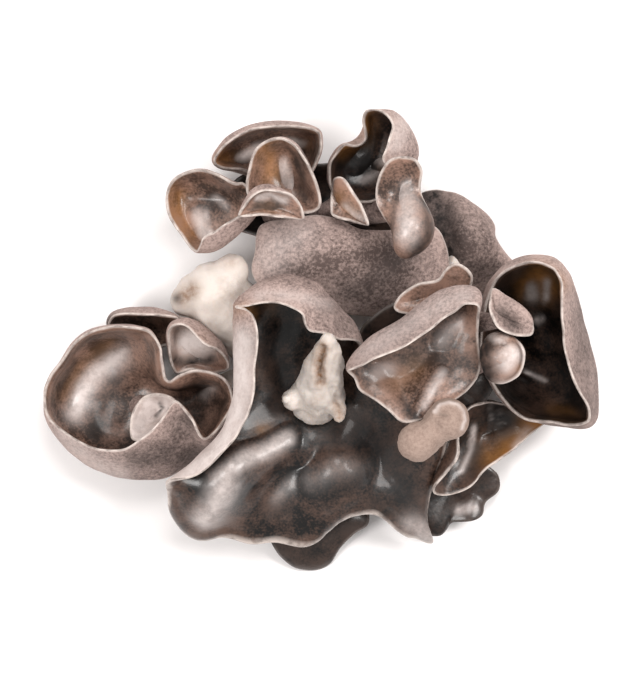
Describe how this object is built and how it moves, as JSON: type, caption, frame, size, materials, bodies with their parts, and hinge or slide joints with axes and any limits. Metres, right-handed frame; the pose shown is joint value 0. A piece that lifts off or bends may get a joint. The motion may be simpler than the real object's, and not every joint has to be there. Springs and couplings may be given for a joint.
{
  "type": "wood ear mushroom clump",
  "caption": "Clump of wood ear mushrooms: rubbery brown ears, glossy inside and velvety outside, curled into cups and ruffles round a pale cut foot.",
  "frame": {"origin": "on the flat cut of the foot, under the middle of the clump", "axes": "+Z out of the wood, towards the viewer; +X along the clump's greatest width, from the wide cup to the tall cup; +Y towards the crown"},
  "size_m": [0.13, 0.1095, 0.047],
  "materials": {
    "ear_flesh": "brown, rubbery, smooth and glossy inside, velvety mauve-grey outside",
    "ear_dark": "near-black brown, rubbery and glossy",
    "ear_velvet": "matte mauve-grey, fine velvety nap",
    "stem": "cream, firm, matte, torn ochre fibres",
    "stub": "tan, velvety"
  },
  "bodies": {
    "root": {"ear_left_cup": "ear_flesh", "ear_left_young": "ear_flesh", "ear_left_small": "ear_flesh", "ear_left_lip": "ear_flesh", "ear_front_long": "ear_flesh", "ear_front_flap": "ear_flesh", "ear_front_lobe": "ear_flesh", "ear_right_cup": "ear_flesh", "ear_lower_right": "ear_flesh", "ear_small": "ear_flesh", "ear_top_left": "ear_flesh", "ear_top_back": "ear_flesh", "ear_top_arch": "ear_flesh", "ear_top_pocket": "ear_flesh", "ear_crown": "ear_flesh", "ear_crown_lobe": "ear_flesh", "ear_crown_left": "ear_flesh", "ear_great": "ear_dark", "ear_under_right": "ear_dark", "ear_under_middle": "ear_dark", "ear_under_long": "ear_dark", "ear_under_crown": "ear_dark", "ear_grey": "ear_velvet", "ear_back": "ear_velvet", "foot": "stem", "nub": "stem", "stub": "stub"}
  },
  "joints": []
}
